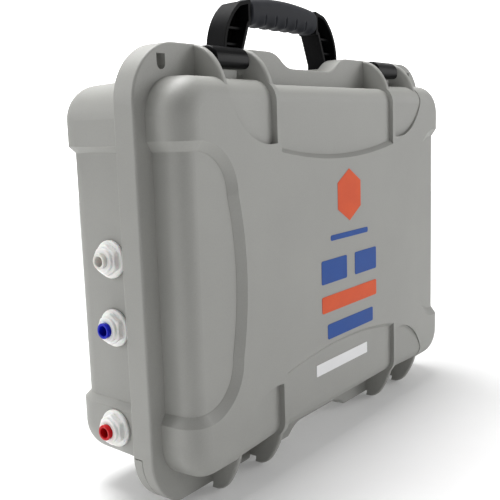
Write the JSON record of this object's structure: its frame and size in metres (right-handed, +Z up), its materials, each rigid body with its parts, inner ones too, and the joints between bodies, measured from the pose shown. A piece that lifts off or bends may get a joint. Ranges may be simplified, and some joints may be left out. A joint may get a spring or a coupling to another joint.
{
  "type": "reverse osmosis unit",
  "caption": "Portable reverse osmosis unit in a moulded protective case with a hinged lid, lever latches, folding handle and push-fit tube ports in one side.",
  "frame": {"origin": "centre of the footprint, on the floor plane that the fin feet rest on", "axes": "+X to the right seen from the lid, +Y from the lid to the back of the base, +Z up; the tube ports face -X"},
  "size_m": [0.3644, 0.1072, 0.3225],
  "materials": {
    "case_grey": "moulded warm grey, fine grain",
    "handle_black": "black, fine grain",
    "grip_rubber": "dark slate, soft touch",
    "latch_black": "black, satin",
    "fitting_white": "white acetal",
    "collet_white": "white acetal",
    "collet_blue": "blue acetal",
    "collet_red": "red acetal",
    "seal_black": "black nitrile",
    "steel": "stainless",
    "foam_charcoal": "open-cell foam",
    "plate_grey": "sheet plastic",
    "housing_white": "white, gloss",
    "media_black": "pressed carbon",
    "media_cream": "wound fibre",
    "membrane_film": "rolled film, taped",
    "tube_white": "translucent white tube",
    "label_white": "white label",
    "ink_blue": "printed blue",
    "ink_orange": "printed orange"
  },
  "bodies": {
    "case": {"base_shell": "case_grey", "hinge_pins": "steel", "latch_pins": "steel", "handle_pins": "steel", "backing_plate": "plate_grey", "plate_screws": "steel", "membrane_clips": "fitting_white", "cartridge_clips": "fitting_white", "clip_screws": "steel", "membrane_housing": "housing_white", "membrane_element": "membrane_film", "membrane_tube": "fitting_white", "membrane_cap": "housing_white", "cap_oring": "seal_black", "carbon_cartridge": "housing_white", "carbon_block": "media_black", "sediment_cartridge": "housing_white", "sediment_element": "media_cream", "elbows": "fitting_white", "feed_tube": "tube_white", "prefilter_tube": "tube_white", "membrane_feed_tube": "tube_white", "product_tube": "tube_white", "flow_restrictor": "fitting_white", "restrictor_nipple": "tube_white", "waste_tube": "tube_white", "waste_port": "fitting_white", "waste_lock_nut": "fitting_white", "waste_oring": "seal_black", "product_port": "fitting_white", "product_lock_nut": "fitting_white", "product_oring": "seal_black", "feed_port": "fitting_white", "feed_lock_nut": "fitting_white", "feed_oring": "seal_black"},
    "lid": {"lid_shell": "case_grey", "lid_gasket": "seal_black", "lid_foam": "foam_charcoal", "label_strip": "label_white", "graphic_blue": "ink_blue", "graphic_orange": "ink_orange"},
    "latch_left": {"latch_left": "latch_black"},
    "latch_right": {"latch_right": "latch_black"},
    "handle": {"handle_frame": "handle_black", "handle_grip": "grip_rubber"},
    "waste_collet": {"waste_collet": "collet_white"},
    "product_collet": {"product_collet": "collet_blue"},
    "feed_collet": {"feed_collet": "collet_red"}
  },
  "joints": [
    {"name": "lid_hinge", "type": "hinge", "parent": "case", "child": "lid", "pos_m": [0.0007, -0.01837, 0.0045], "axis": [1, 0, 0], "range_deg": [0, 90]},
    {"name": "latch_left_pivot", "type": "hinge", "parent": "case", "child": "latch_left", "pos_m": [-0.1023, -0.00737, 0.2715], "axis": [-1, 0, 0], "range_deg": [0, 100]},
    {"name": "latch_right_pivot", "type": "hinge", "parent": "case", "child": "latch_right", "pos_m": [0.1037, -0.00737, 0.2715], "axis": [-1, 0, 0], "range_deg": [0, 100]},
    {"name": "handle_fold", "type": "hinge", "parent": "case", "child": "handle", "pos_m": [0.0007, 0.00263, 0.269], "axis": [-1, 0, 0], "range_deg": [0, 90]},
    {"name": "waste_collet_push", "type": "slide", "parent": "case", "child": "waste_collet", "axis": [1, 0, 0], "range_m": [0, 0.0015]},
    {"name": "product_collet_push", "type": "slide", "parent": "case", "child": "product_collet", "axis": [1, 0, 0], "range_m": [0, 0.0015]},
    {"name": "feed_collet_push", "type": "slide", "parent": "case", "child": "feed_collet", "axis": [1, 0, 0], "range_m": [0, 0.0015]}
  ]
}
